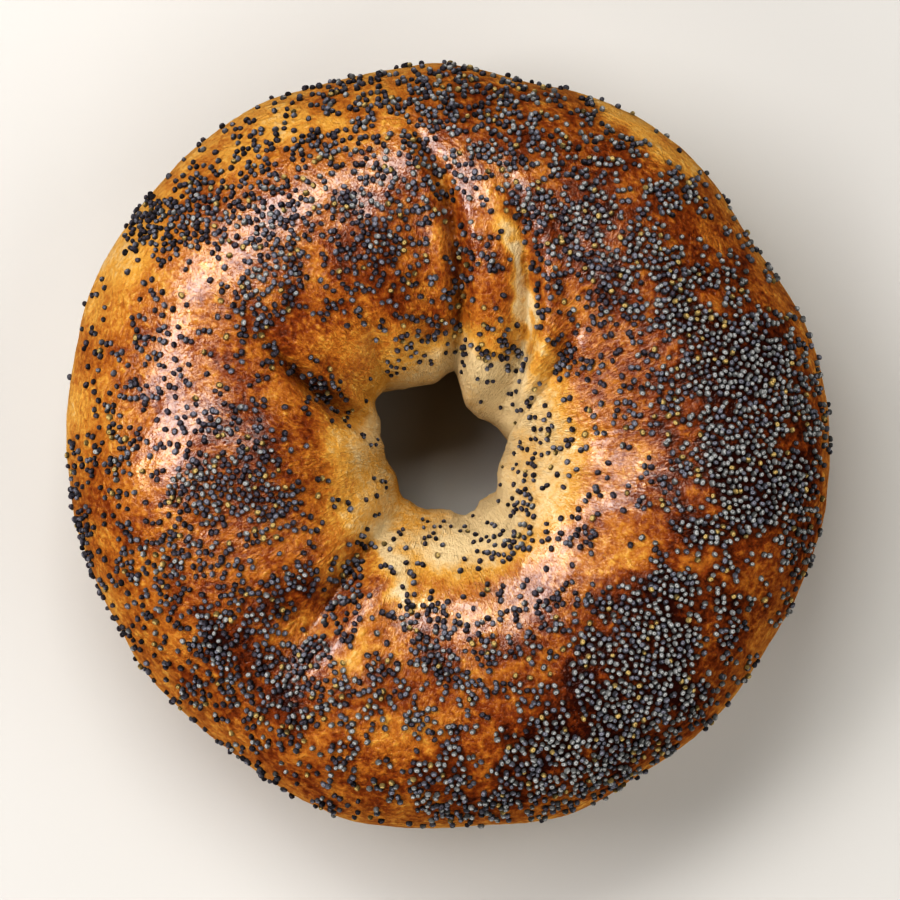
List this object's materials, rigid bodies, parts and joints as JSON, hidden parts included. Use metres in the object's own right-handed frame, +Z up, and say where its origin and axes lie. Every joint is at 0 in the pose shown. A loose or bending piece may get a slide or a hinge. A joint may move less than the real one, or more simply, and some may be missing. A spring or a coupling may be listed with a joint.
{
  "type": "poppy seed bagel",
  "caption": "Baked ring of dough with a shiny browned crust, folds pinched in round its hole and poppy seeds fused over the top.",
  "frame": {"origin": "on the table under the middle of the ring, at the bottom centre of the part's box", "axes": "+Z up through the hole, +X to the right and +Y away from the viewer who looks straight down on it"},
  "size_m": [0.1118, 0.1113, 0.0402],
  "materials": {
    "seeded_crust": "baked dough crust with an egg-wash sheen"
  },
  "bodies": {
    "root": {"bagel": "seeded_crust"}
  },
  "joints": []
}
